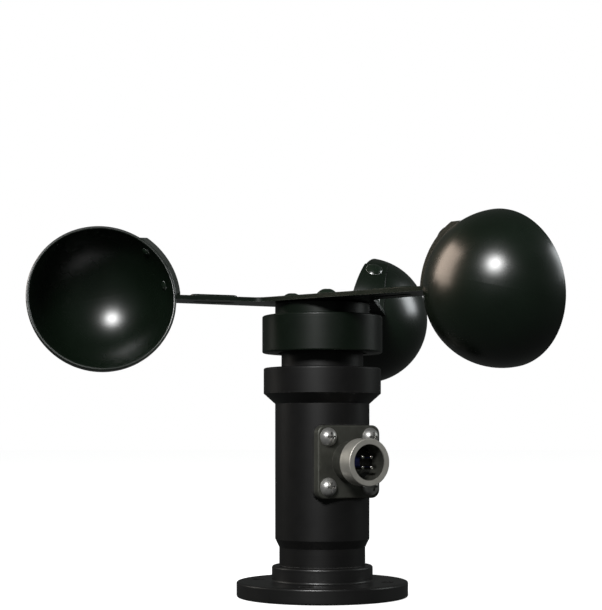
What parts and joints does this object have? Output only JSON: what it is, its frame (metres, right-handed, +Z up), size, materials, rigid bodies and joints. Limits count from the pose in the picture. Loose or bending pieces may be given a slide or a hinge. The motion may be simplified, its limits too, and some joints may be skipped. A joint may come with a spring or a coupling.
{
  "type": "cup anemometer",
  "caption": "Cup anemometer: hemispherical cups on a sheet-metal spider turn on a slim black post with a side cable connector and a round bolt-down flange.",
  "frame": {"origin": "centre of the flange's underside, at the middle of the bolt circle", "axes": "+Z up along the rotor's axis; the cable connector faces -Y"},
  "size_m": [0.1773, 0.1712, 0.1269],
  "materials": {
    "rotor_black": "satin",
    "housing_black": "satin",
    "flange_black": "satin",
    "connector_plate": "satin",
    "connector_ring": "satin",
    "insulator": "matte",
    "bright_steel": "polished",
    "black_steel": "satin",
    "bearing_steel": "polished",
    "rubber_seal": "matte",
    "contact_metal": "polished",
    "cage_plastic": "matte",
    "holder_plastic": "matte",
    "magnet_metal": "polished",
    "board_laminate": "satin",
    "chip_black": "matte",
    "wire_insulation": "satin"
  },
  "bodies": {
    "base": {"base_flange": "flange_black", "flange_screws": "bright_steel", "base_o_ring": "rubber_seal", "body_housing": "housing_black", "bearing_housing": "housing_black", "housing_o_ring": "rubber_seal", "lower_bearing_outer_ring": "bearing_steel", "lower_bearing_shields": "bearing_steel", "lower_bearing_circlip": "black_steel", "upper_bearing_outer_ring": "bearing_steel", "upper_bearing_shields": "bearing_steel", "upper_bearing_circlip": "black_steel", "sensor_board": "board_laminate", "hall_sensor": "chip_black", "board_components": "chip_black", "board_standoffs": "contact_metal", "board_screws": "bright_steel", "lead_wires": "wire_insulation", "connector_gasket": "rubber_seal", "connector_shell": "connector_plate", "connector_ring": "connector_ring", "connector_insert": "insulator", "connector_pins": "contact_metal", "connector_screws": "bright_steel"},
    "rotor": {"rotor_hub": "rotor_black", "hub_set_screw": "black_steel", "rotor_shaft": "bright_steel", "bearing_spacer": "bright_steel", "lower_bearing_inner_ring": "bearing_steel", "upper_bearing_inner_ring": "bearing_steel", "shaft_circlip": "black_steel", "magnet_holder": "holder_plastic", "magnets": "magnet_metal", "arm_spider": "rotor_black", "plate_screws": "black_steel", "cup_1": "rotor_black", "cup_2": "rotor_black", "cup_3": "rotor_black", "cup_1_rivets": "rotor_black", "cup_2_rivets": "rotor_black", "cup_3_rivets": "rotor_black"},
    "lower_ball_set": {"lower_bearing_balls": "bearing_steel", "lower_bearing_cage": "cage_plastic"},
    "upper_ball_set": {"upper_bearing_balls": "bearing_steel", "upper_bearing_cage": "cage_plastic"}
  },
  "joints": [
    {"name": "rotor_spin", "type": "hinge", "parent": "base", "child": "rotor", "pos_m": [0, 0, 0.0895], "axis": [0, 0, 1], "continuous": true},
    {"name": "lower_ball_spin", "type": "hinge", "parent": "base", "child": "lower_ball_set", "pos_m": [0, 0, 0.0655], "axis": [0, 0, 1], "continuous": true},
    {"name": "upper_ball_spin", "type": "hinge", "parent": "base", "child": "upper_ball_set", "pos_m": [0, 0, 0.0895], "axis": [0, 0, 1], "continuous": true}
  ],
  "couplings": [
    {"joint": "lower_ball_spin", "follows": "rotor_spin", "ratio": 0.3571},
    {"joint": "upper_ball_spin", "follows": "rotor_spin", "ratio": 0.3571}
  ]
}
